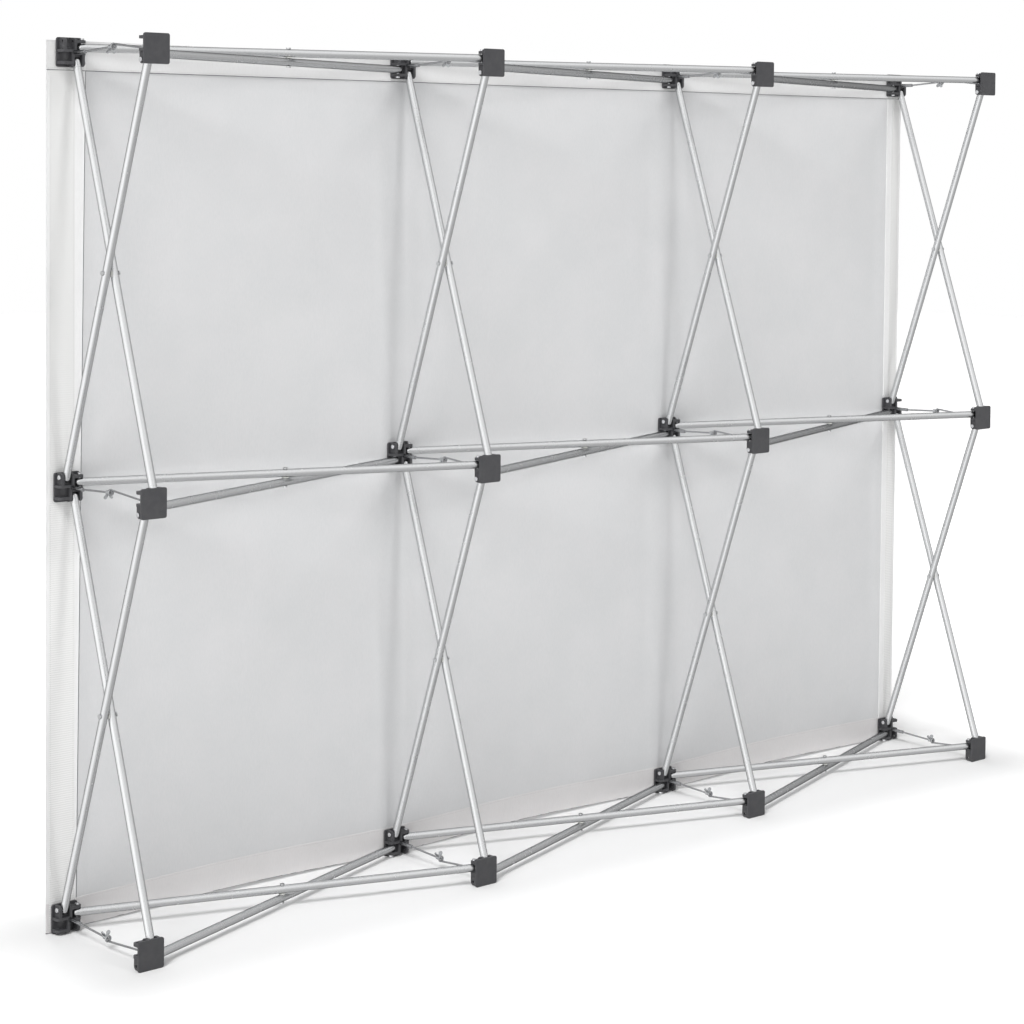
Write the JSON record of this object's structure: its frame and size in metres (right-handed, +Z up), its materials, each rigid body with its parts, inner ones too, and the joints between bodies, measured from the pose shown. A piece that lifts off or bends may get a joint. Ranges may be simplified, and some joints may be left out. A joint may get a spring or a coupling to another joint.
{
  "type": "banner wall",
  "caption": "Free-standing pop-up banner wall: a folding lattice of scissor tubes with moulded hubs and locking rods, and a stretched white fabric graphic on its front.",
  "frame": {"origin": "on the floor, at the centre of the wall's footprint, folds of the fabric included", "axes": "+X along the wall, +Y to the rear, away from the fabric, +Z up"},
  "size_m": [2.293, 0.2712, 1.52],
  "materials": {
    "hub": "semi-gloss moulded nylon, with steel pins and rods",
    "tube": "satin drawn tube",
    "fabric": "matte warp-knit polyester, hemmed"
  },
  "bodies": {
    "front_hub_c2_r2": {"front_hub_c2_r2": "hub", "fabric_graphic": "fabric"},
    "front_hub_c1_r1": {"front_hub_c1_r1": "hub"},
    "front_hub_c2_r1": {"front_hub_c2_r1": "hub"},
    "front_hub_c3_r1": {"front_hub_c3_r1": "hub"},
    "front_hub_c4_r1": {"front_hub_c4_r1": "hub"},
    "front_hub_c1_r2": {"front_hub_c1_r2": "hub"},
    "front_hub_c3_r2": {"front_hub_c3_r2": "hub"},
    "front_hub_c4_r2": {"front_hub_c4_r2": "hub"},
    "front_hub_c1_r3": {"front_hub_c1_r3": "hub"},
    "front_hub_c2_r3": {"front_hub_c2_r3": "hub"},
    "front_hub_c3_r3": {"front_hub_c3_r3": "hub"},
    "front_hub_c4_r3": {"front_hub_c4_r3": "hub"},
    "rear_hub_c1_r1": {"rear_hub_c1_r1": "hub"},
    "rear_hub_c2_r1": {"rear_hub_c2_r1": "hub"},
    "rear_hub_c3_r1": {"rear_hub_c3_r1": "hub"},
    "rear_hub_c4_r1": {"rear_hub_c4_r1": "hub"},
    "rear_hub_c1_r2": {"rear_hub_c1_r2": "hub"},
    "rear_hub_c2_r2": {"rear_hub_c2_r2": "hub"},
    "rear_hub_c3_r2": {"rear_hub_c3_r2": "hub"},
    "rear_hub_c4_r2": {"rear_hub_c4_r2": "hub"},
    "rear_hub_c1_r3": {"rear_hub_c1_r3": "hub"},
    "rear_hub_c2_r3": {"rear_hub_c2_r3": "hub"},
    "rear_hub_c3_r3": {"rear_hub_c3_r3": "hub"},
    "rear_hub_c4_r3": {"rear_hub_c4_r3": "hub"},
    "rail_upper_c1_r1": {"rail_upper_c1_r1": "tube"},
    "rail_upper_c2_r1": {"rail_upper_c2_r1": "tube"},
    "rail_upper_c3_r1": {"rail_upper_c3_r1": "tube"},
    "rail_upper_c1_r2": {"rail_upper_c1_r2": "tube"},
    "rail_upper_c2_r2": {"rail_upper_c2_r2": "tube"},
    "rail_upper_c3_r2": {"rail_upper_c3_r2": "tube"},
    "rail_upper_c1_r3": {"rail_upper_c1_r3": "tube"},
    "rail_upper_c2_r3": {"rail_upper_c2_r3": "tube"},
    "rail_upper_c3_r3": {"rail_upper_c3_r3": "tube"},
    "rail_lower_c1_r1": {"rail_lower_c1_r1": "tube"},
    "rail_lower_c2_r1": {"rail_lower_c2_r1": "tube"},
    "rail_lower_c3_r1": {"rail_lower_c3_r1": "tube"},
    "rail_lower_c1_r2": {"rail_lower_c1_r2": "tube"},
    "rail_lower_c2_r2": {"rail_lower_c2_r2": "tube"},
    "rail_lower_c3_r2": {"rail_lower_c3_r2": "tube"},
    "rail_lower_c1_r3": {"rail_lower_c1_r3": "tube"},
    "rail_lower_c2_r3": {"rail_lower_c2_r3": "tube"},
    "rail_lower_c3_r3": {"rail_lower_c3_r3": "tube"},
    "upright_left_c1_r1": {"upright_left_c1_r1": "tube"},
    "upright_left_c2_r1": {"upright_left_c2_r1": "tube"},
    "upright_left_c3_r1": {"upright_left_c3_r1": "tube"},
    "upright_left_c4_r1": {"upright_left_c4_r1": "tube"},
    "upright_left_c1_r2": {"upright_left_c1_r2": "tube"},
    "upright_left_c2_r2": {"upright_left_c2_r2": "tube"},
    "upright_left_c3_r2": {"upright_left_c3_r2": "tube"},
    "upright_left_c4_r2": {"upright_left_c4_r2": "tube"},
    "upright_right_c1_r1": {"upright_right_c1_r1": "tube"},
    "upright_right_c2_r1": {"upright_right_c2_r1": "tube"},
    "upright_right_c3_r1": {"upright_right_c3_r1": "tube"},
    "upright_right_c4_r1": {"upright_right_c4_r1": "tube"},
    "upright_right_c1_r2": {"upright_right_c1_r2": "tube"},
    "upright_right_c2_r2": {"upright_right_c2_r2": "tube"},
    "upright_right_c3_r2": {"upright_right_c3_r2": "tube"},
    "upright_right_c4_r2": {"upright_right_c4_r2": "tube"}
  },
  "joints": [
    {"name": "fold", "type": "hinge", "parent": "front_hub_c2_r2", "child": "upright_left_c2_r2", "pos_m": [0.37525, -0.11285, 0.778], "axis": [-1, 0, 0], "range_deg": [0, 69.42]},
    {"name": "pivot_upright_right_c2_r1", "type": "hinge", "parent": "front_hub_c2_r2", "child": "upright_right_c2_r1", "pos_m": [0.35975, -0.11285, 0.742], "axis": [1, 0, 0], "range_deg": [0, 69.42]},
    {"name": "pivot_rail_lower_c1_r2", "type": "hinge", "parent": "front_hub_c2_r2", "child": "rail_lower_c1_r2", "pos_m": [0.3855, -0.11285, 0.75225], "axis": [0, 0, 1], "range_deg": [0, 69.42]},
    {"name": "pivot_rail_upper_c2_r2", "type": "hinge", "parent": "front_hub_c2_r2", "child": "rail_upper_c2_r2", "pos_m": [0.3495, -0.11285, 0.76775], "axis": [0, 0, -1], "range_deg": [0, 69.42]},
    {"name": "pivot_rear_hub_c2_r3", "type": "hinge", "parent": "upright_left_c2_r2", "child": "rear_hub_c2_r3", "pos_m": [0.37525, 0.12215, 1.477], "axis": [1, 0, 0], "range_deg": [0, 69.42]},
    {"name": "pivot_rear_hub_c2_r1", "type": "hinge", "parent": "upright_right_c2_r1", "child": "rear_hub_c2_r1", "pos_m": [0.35975, 0.12215, 0.043], "axis": [-1, 0, 0], "range_deg": [0, 69.42]},
    {"name": "pivot_rear_hub_c1_r2", "type": "hinge", "parent": "rail_lower_c1_r2", "child": "rear_hub_c1_r2", "pos_m": [1.0845, 0.12215, 0.75225], "axis": [0, 0, -1], "range_deg": [0, 69.42]},
    {"name": "pivot_rear_hub_c3_r2", "type": "hinge", "parent": "rail_upper_c2_r2", "child": "rear_hub_c3_r2", "pos_m": [-0.3495, 0.12215, 0.76775], "axis": [0, 0, 1], "range_deg": [0, 69.42]},
    {"name": "pivot_rail_upper_c1_r3", "type": "hinge", "parent": "rear_hub_c2_r3", "child": "rail_upper_c1_r3", "pos_m": [0.3855, 0.12215, 1.50275], "axis": [0, 0, -1], "range_deg": [0, 69.42]},
    {"name": "pivot_rail_lower_c2_r3", "type": "hinge", "parent": "rear_hub_c2_r3", "child": "rail_lower_c2_r3", "pos_m": [0.3495, 0.12215, 1.48725], "axis": [0, 0, 1], "range_deg": [0, 69.42]},
    {"name": "pivot_rail_upper_c1_r1", "type": "hinge", "parent": "rear_hub_c2_r1", "child": "rail_upper_c1_r1", "pos_m": [0.3855, 0.12215, 0.03275], "axis": [0, 0, -1], "range_deg": [0, 69.42]},
    {"name": "pivot_rail_lower_c2_r1", "type": "hinge", "parent": "rear_hub_c2_r1", "child": "rail_lower_c2_r1", "pos_m": [0.3495, 0.12215, 0.01725], "axis": [0, 0, 1], "range_deg": [0, 69.42]},
    {"name": "pivot_upright_left_c1_r1", "type": "hinge", "parent": "rear_hub_c1_r2", "child": "upright_left_c1_r1", "pos_m": [1.11025, 0.12215, 0.742], "axis": [-1, 0, 0], "range_deg": [0, 69.42]},
    {"name": "pivot_upright_right_c1_r2", "type": "hinge", "parent": "rear_hub_c1_r2", "child": "upright_right_c1_r2", "pos_m": [1.09475, 0.12215, 0.778], "axis": [1, 0, 0], "range_deg": [0, 69.42]},
    {"name": "pivot_upright_left_c3_r1", "type": "hinge", "parent": "rear_hub_c3_r2", "child": "upright_left_c3_r1", "pos_m": [-0.35975, 0.12215, 0.742], "axis": [-1, 0, 0], "range_deg": [0, 69.42]},
    {"name": "pivot_upright_right_c3_r2", "type": "hinge", "parent": "rear_hub_c3_r2", "child": "upright_right_c3_r2", "pos_m": [-0.37525, 0.12215, 0.778], "axis": [1, 0, 0], "range_deg": [0, 69.42]},
    {"name": "pivot_rail_lower_c3_r2", "type": "hinge", "parent": "rear_hub_c3_r2", "child": "rail_lower_c3_r2", "pos_m": [-0.3855, 0.12215, 0.75225], "axis": [0, 0, 1], "range_deg": [0, 69.42]},
    {"name": "pivot_front_hub_c1_r3", "type": "hinge", "parent": "rail_upper_c1_r3", "child": "front_hub_c1_r3", "pos_m": [1.0845, -0.11285, 1.50275], "axis": [0, 0, 1], "range_deg": [0, 69.42]},
    {"name": "pivot_front_hub_c3_r3", "type": "hinge", "parent": "rail_lower_c2_r3", "child": "front_hub_c3_r3", "pos_m": [-0.3495, -0.11285, 1.48725], "axis": [0, 0, -1], "range_deg": [0, 69.42]},
    {"name": "pivot_front_hub_c1_r1", "type": "hinge", "parent": "rail_upper_c1_r1", "child": "front_hub_c1_r1", "pos_m": [1.0845, -0.11285, 0.03275], "axis": [0, 0, 1], "range_deg": [0, 69.42]},
    {"name": "pivot_front_hub_c3_r1", "type": "hinge", "parent": "rail_lower_c2_r1", "child": "front_hub_c3_r1", "pos_m": [-0.3495, -0.11285, 0.01725], "axis": [0, 0, -1], "range_deg": [0, 69.42]},
    {"name": "pivot_front_hub_c4_r2", "type": "hinge", "parent": "rail_lower_c3_r2", "child": "front_hub_c4_r2", "pos_m": [-1.0845, -0.11285, 0.75225], "axis": [0, 0, -1], "range_deg": [0, 69.42]},
    {"name": "pivot_rail_upper_c3_r3", "type": "hinge", "parent": "front_hub_c3_r3", "child": "rail_upper_c3_r3", "pos_m": [-0.3855, -0.11285, 1.50275], "axis": [0, 0, -1], "range_deg": [0, 69.42]},
    {"name": "pivot_rail_upper_c3_r1", "type": "hinge", "parent": "front_hub_c3_r1", "child": "rail_upper_c3_r1", "pos_m": [-0.3855, -0.11285, 0.03275], "axis": [0, 0, -1], "range_deg": [0, 69.42]},
    {"name": "pivot_upright_right_c4_r1", "type": "hinge", "parent": "front_hub_c4_r2", "child": "upright_right_c4_r1", "pos_m": [-1.11025, -0.11285, 0.742], "axis": [1, 0, 0], "range_deg": [0, 69.42]},
    {"name": "pivot_upright_left_c4_r2", "type": "hinge", "parent": "front_hub_c4_r2", "child": "upright_left_c4_r2", "pos_m": [-1.09475, -0.11285, 0.778], "axis": [-1, 0, 0], "range_deg": [0, 69.42]},
    {"name": "pivot_rear_hub_c4_r3", "type": "hinge", "parent": "rail_upper_c3_r3", "child": "rear_hub_c4_r3", "pos_m": [-1.0845, 0.12215, 1.50275], "axis": [0, 0, 1], "range_deg": [0, 69.42]},
    {"name": "pivot_rear_hub_c4_r1", "type": "hinge", "parent": "rail_upper_c3_r1", "child": "rear_hub_c4_r1", "pos_m": [-1.0845, 0.12215, 0.03275], "axis": [0, 0, 1], "range_deg": [0, 69.42]},
    {"name": "pivot_upright_right_c2_r2", "type": "hinge", "parent": "upright_left_c2_r2", "child": "upright_right_c2_r2", "pos_m": [0.3675, 0.00465, 1.1275], "axis": [1, 0, 0], "range_deg": [0, 138.84]},
    {"name": "pivot_rear_hub_c2_r2", "type": "hinge", "parent": "upright_right_c2_r2", "child": "rear_hub_c2_r2", "pos_m": [0.35975, 0.12215, 0.778], "axis": [-1, 0, 0], "range_deg": [0, 69.42]},
    {"name": "pivot_front_hub_c2_r3", "type": "hinge", "parent": "upright_right_c2_r2", "child": "front_hub_c2_r3", "pos_m": [0.35975, -0.11285, 1.477], "axis": [-1, 0, 0], "range_deg": [0, 69.42]},
    {"name": "pivot_upright_left_c2_r1", "type": "hinge", "parent": "rear_hub_c2_r2", "child": "upright_left_c2_r1", "pos_m": [0.37525, 0.12215, 0.742], "axis": [-1, 0, 0], "range_deg": [0, 69.42]},
    {"name": "pivot_rail_upper_c1_r2", "type": "hinge", "parent": "rear_hub_c2_r2", "child": "rail_upper_c1_r2", "pos_m": [0.3855, 0.12215, 0.76775], "axis": [0, 0, -1], "range_deg": [0, 69.42]},
    {"name": "pivot_rail_lower_c2_r2", "type": "hinge", "parent": "rear_hub_c2_r2", "child": "rail_lower_c2_r2", "pos_m": [0.3495, 0.12215, 0.75225], "axis": [0, 0, 1], "range_deg": [0, 69.42]},
    {"name": "pivot_rail_lower_c1_r3", "type": "hinge", "parent": "front_hub_c2_r3", "child": "rail_lower_c1_r3", "pos_m": [0.3855, -0.11285, 1.48725], "axis": [0, 0, 1], "range_deg": [0, 69.42]},
    {"name": "pivot_rail_upper_c2_r3", "type": "hinge", "parent": "front_hub_c2_r3", "child": "rail_upper_c2_r3", "pos_m": [0.3495, -0.11285, 1.50275], "axis": [0, 0, -1], "range_deg": [0, 69.42]},
    {"name": "pivot_front_hub_c2_r1", "type": "hinge", "parent": "upright_left_c2_r1", "child": "front_hub_c2_r1", "pos_m": [0.37525, -0.11285, 0.043], "axis": [1, 0, 0], "range_deg": [0, 69.42]},
    {"name": "pivot_front_hub_c1_r2", "type": "hinge", "parent": "rail_upper_c1_r2", "child": "front_hub_c1_r2", "pos_m": [1.0845, -0.11285, 0.76775], "axis": [0, 0, 1], "range_deg": [0, 69.42]},
    {"name": "pivot_front_hub_c3_r2", "type": "hinge", "parent": "rail_lower_c2_r2", "child": "front_hub_c3_r2", "pos_m": [-0.3495, -0.11285, 0.75225], "axis": [0, 0, -1], "range_deg": [0, 69.42]},
    {"name": "pivot_rear_hub_c1_r3", "type": "hinge", "parent": "rail_lower_c1_r3", "child": "rear_hub_c1_r3", "pos_m": [1.0845, 0.12215, 1.48725], "axis": [0, 0, -1], "range_deg": [0, 69.42]},
    {"name": "pivot_rear_hub_c3_r3", "type": "hinge", "parent": "rail_upper_c2_r3", "child": "rear_hub_c3_r3", "pos_m": [-0.3495, 0.12215, 1.50275], "axis": [0, 0, 1], "range_deg": [0, 69.42]},
    {"name": "pivot_rail_lower_c1_r1", "type": "hinge", "parent": "front_hub_c2_r1", "child": "rail_lower_c1_r1", "pos_m": [0.3855, -0.11285, 0.01725], "axis": [0, 0, 1], "range_deg": [0, 69.42]},
    {"name": "pivot_rail_upper_c2_r1", "type": "hinge", "parent": "front_hub_c2_r1", "child": "rail_upper_c2_r1", "pos_m": [0.3495, -0.11285, 0.03275], "axis": [0, 0, -1], "range_deg": [0, 69.42]},
    {"name": "pivot_upright_right_c1_r1", "type": "hinge", "parent": "front_hub_c1_r2", "child": "upright_right_c1_r1", "pos_m": [1.09475, -0.11285, 0.742], "axis": [1, 0, 0], "range_deg": [0, 69.42]},
    {"name": "pivot_upright_left_c1_r2", "type": "hinge", "parent": "front_hub_c1_r2", "child": "upright_left_c1_r2", "pos_m": [1.11025, -0.11285, 0.778], "axis": [-1, 0, 0], "range_deg": [0, 69.42]},
    {"name": "pivot_upright_right_c3_r1", "type": "hinge", "parent": "front_hub_c3_r2", "child": "upright_right_c3_r1", "pos_m": [-0.37525, -0.11285, 0.742], "axis": [1, 0, 0], "range_deg": [0, 69.42]},
    {"name": "pivot_upright_left_c3_r2", "type": "hinge", "parent": "front_hub_c3_r2", "child": "upright_left_c3_r2", "pos_m": [-0.35975, -0.11285, 0.778], "axis": [-1, 0, 0], "range_deg": [0, 69.42]},
    {"name": "pivot_rail_upper_c3_r2", "type": "hinge", "parent": "front_hub_c3_r2", "child": "rail_upper_c3_r2", "pos_m": [-0.3855, -0.11285, 0.76775], "axis": [0, 0, -1], "range_deg": [0, 69.42]},
    {"name": "pivot_rail_lower_c3_r3", "type": "hinge", "parent": "rear_hub_c3_r3", "child": "rail_lower_c3_r3", "pos_m": [-0.3855, 0.12215, 1.48725], "axis": [0, 0, 1], "range_deg": [0, 69.42]},
    {"name": "pivot_rear_hub_c1_r1", "type": "hinge", "parent": "rail_lower_c1_r1", "child": "rear_hub_c1_r1", "pos_m": [1.0845, 0.12215, 0.01725], "axis": [0, 0, -1], "range_deg": [0, 69.42]},
    {"name": "pivot_rear_hub_c3_r1", "type": "hinge", "parent": "rail_upper_c2_r1", "child": "rear_hub_c3_r1", "pos_m": [-0.3495, 0.12215, 0.03275], "axis": [0, 0, 1], "range_deg": [0, 69.42]},
    {"name": "pivot_rear_hub_c4_r2", "type": "hinge", "parent": "rail_upper_c3_r2", "child": "rear_hub_c4_r2", "pos_m": [-1.0845, 0.12215, 0.76775], "axis": [0, 0, 1], "range_deg": [0, 69.42]},
    {"name": "pivot_front_hub_c4_r3", "type": "hinge", "parent": "rail_lower_c3_r3", "child": "front_hub_c4_r3", "pos_m": [-1.0845, -0.11285, 1.48725], "axis": [0, 0, -1], "range_deg": [0, 69.42]},
    {"name": "pivot_rail_lower_c3_r1", "type": "hinge", "parent": "rear_hub_c3_r1", "child": "rail_lower_c3_r1", "pos_m": [-0.3855, 0.12215, 0.01725], "axis": [0, 0, 1], "range_deg": [0, 69.42]},
    {"name": "pivot_upright_left_c4_r1", "type": "hinge", "parent": "rear_hub_c4_r2", "child": "upright_left_c4_r1", "pos_m": [-1.09475, 0.12215, 0.742], "axis": [-1, 0, 0], "range_deg": [0, 69.42]},
    {"name": "pivot_upright_right_c4_r2", "type": "hinge", "parent": "rear_hub_c4_r2", "child": "upright_right_c4_r2", "pos_m": [-1.11025, 0.12215, 0.778], "axis": [1, 0, 0], "range_deg": [0, 69.42]},
    {"name": "pivot_front_hub_c4_r1", "type": "hinge", "parent": "rail_lower_c3_r1", "child": "front_hub_c4_r1", "pos_m": [-1.0845, -0.11285, 0.01725], "axis": [0, 0, -1], "range_deg": [0, 69.42]}
  ],
  "couplings": [
    {"joint": "pivot_upright_right_c2_r1", "follows": "fold", "ratio": 1},
    {"joint": "pivot_rail_lower_c1_r2", "follows": "fold", "ratio": 1},
    {"joint": "pivot_rail_upper_c2_r2", "follows": "fold", "ratio": 1},
    {"joint": "pivot_rear_hub_c2_r3", "follows": "fold", "ratio": 1},
    {"joint": "pivot_rear_hub_c2_r1", "follows": "fold", "ratio": 1},
    {"joint": "pivot_rear_hub_c1_r2", "follows": "fold", "ratio": 1},
    {"joint": "pivot_rear_hub_c3_r2", "follows": "fold", "ratio": 1},
    {"joint": "pivot_rail_upper_c1_r3", "follows": "fold", "ratio": 1},
    {"joint": "pivot_rail_lower_c2_r3", "follows": "fold", "ratio": 1},
    {"joint": "pivot_rail_upper_c1_r1", "follows": "fold", "ratio": 1},
    {"joint": "pivot_rail_lower_c2_r1", "follows": "fold", "ratio": 1},
    {"joint": "pivot_upright_left_c1_r1", "follows": "fold", "ratio": 1},
    {"joint": "pivot_upright_right_c1_r2", "follows": "fold", "ratio": 1},
    {"joint": "pivot_upright_left_c3_r1", "follows": "fold", "ratio": 1},
    {"joint": "pivot_upright_right_c3_r2", "follows": "fold", "ratio": 1},
    {"joint": "pivot_rail_lower_c3_r2", "follows": "fold", "ratio": 1},
    {"joint": "pivot_front_hub_c1_r3", "follows": "fold", "ratio": 1},
    {"joint": "pivot_front_hub_c3_r3", "follows": "fold", "ratio": 1},
    {"joint": "pivot_front_hub_c1_r1", "follows": "fold", "ratio": 1},
    {"joint": "pivot_front_hub_c3_r1", "follows": "fold", "ratio": 1},
    {"joint": "pivot_front_hub_c4_r2", "follows": "fold", "ratio": 1},
    {"joint": "pivot_rail_upper_c3_r3", "follows": "fold", "ratio": 1},
    {"joint": "pivot_rail_upper_c3_r1", "follows": "fold", "ratio": 1},
    {"joint": "pivot_upright_right_c4_r1", "follows": "fold", "ratio": 1},
    {"joint": "pivot_upright_left_c4_r2", "follows": "fold", "ratio": 1},
    {"joint": "pivot_rear_hub_c4_r3", "follows": "fold", "ratio": 1},
    {"joint": "pivot_rear_hub_c4_r1", "follows": "fold", "ratio": 1},
    {"joint": "pivot_upright_right_c2_r2", "follows": "fold", "ratio": 2},
    {"joint": "pivot_rear_hub_c2_r2", "follows": "fold", "ratio": 1},
    {"joint": "pivot_front_hub_c2_r3", "follows": "fold", "ratio": 1},
    {"joint": "pivot_upright_left_c2_r1", "follows": "fold", "ratio": 1},
    {"joint": "pivot_rail_upper_c1_r2", "follows": "fold", "ratio": 1},
    {"joint": "pivot_rail_lower_c2_r2", "follows": "fold", "ratio": 1},
    {"joint": "pivot_rail_lower_c1_r3", "follows": "fold", "ratio": 1},
    {"joint": "pivot_rail_upper_c2_r3", "follows": "fold", "ratio": 1},
    {"joint": "pivot_front_hub_c2_r1", "follows": "fold", "ratio": 1},
    {"joint": "pivot_front_hub_c1_r2", "follows": "fold", "ratio": 1},
    {"joint": "pivot_front_hub_c3_r2", "follows": "fold", "ratio": 1},
    {"joint": "pivot_rear_hub_c1_r3", "follows": "fold", "ratio": 1},
    {"joint": "pivot_rear_hub_c3_r3", "follows": "fold", "ratio": 1},
    {"joint": "pivot_rail_lower_c1_r1", "follows": "fold", "ratio": 1},
    {"joint": "pivot_rail_upper_c2_r1", "follows": "fold", "ratio": 1},
    {"joint": "pivot_upright_right_c1_r1", "follows": "fold", "ratio": 1},
    {"joint": "pivot_upright_left_c1_r2", "follows": "fold", "ratio": 1},
    {"joint": "pivot_upright_right_c3_r1", "follows": "fold", "ratio": 1},
    {"joint": "pivot_upright_left_c3_r2", "follows": "fold", "ratio": 1},
    {"joint": "pivot_rail_upper_c3_r2", "follows": "fold", "ratio": 1},
    {"joint": "pivot_rail_lower_c3_r3", "follows": "fold", "ratio": 1},
    {"joint": "pivot_rear_hub_c1_r1", "follows": "fold", "ratio": 1},
    {"joint": "pivot_rear_hub_c3_r1", "follows": "fold", "ratio": 1},
    {"joint": "pivot_rear_hub_c4_r2", "follows": "fold", "ratio": 1},
    {"joint": "pivot_front_hub_c4_r3", "follows": "fold", "ratio": 1},
    {"joint": "pivot_rail_lower_c3_r1", "follows": "fold", "ratio": 1},
    {"joint": "pivot_upright_left_c4_r1", "follows": "fold", "ratio": 1},
    {"joint": "pivot_upright_right_c4_r2", "follows": "fold", "ratio": 1},
    {"joint": "pivot_front_hub_c4_r1", "follows": "fold", "ratio": 1}
  ]
}
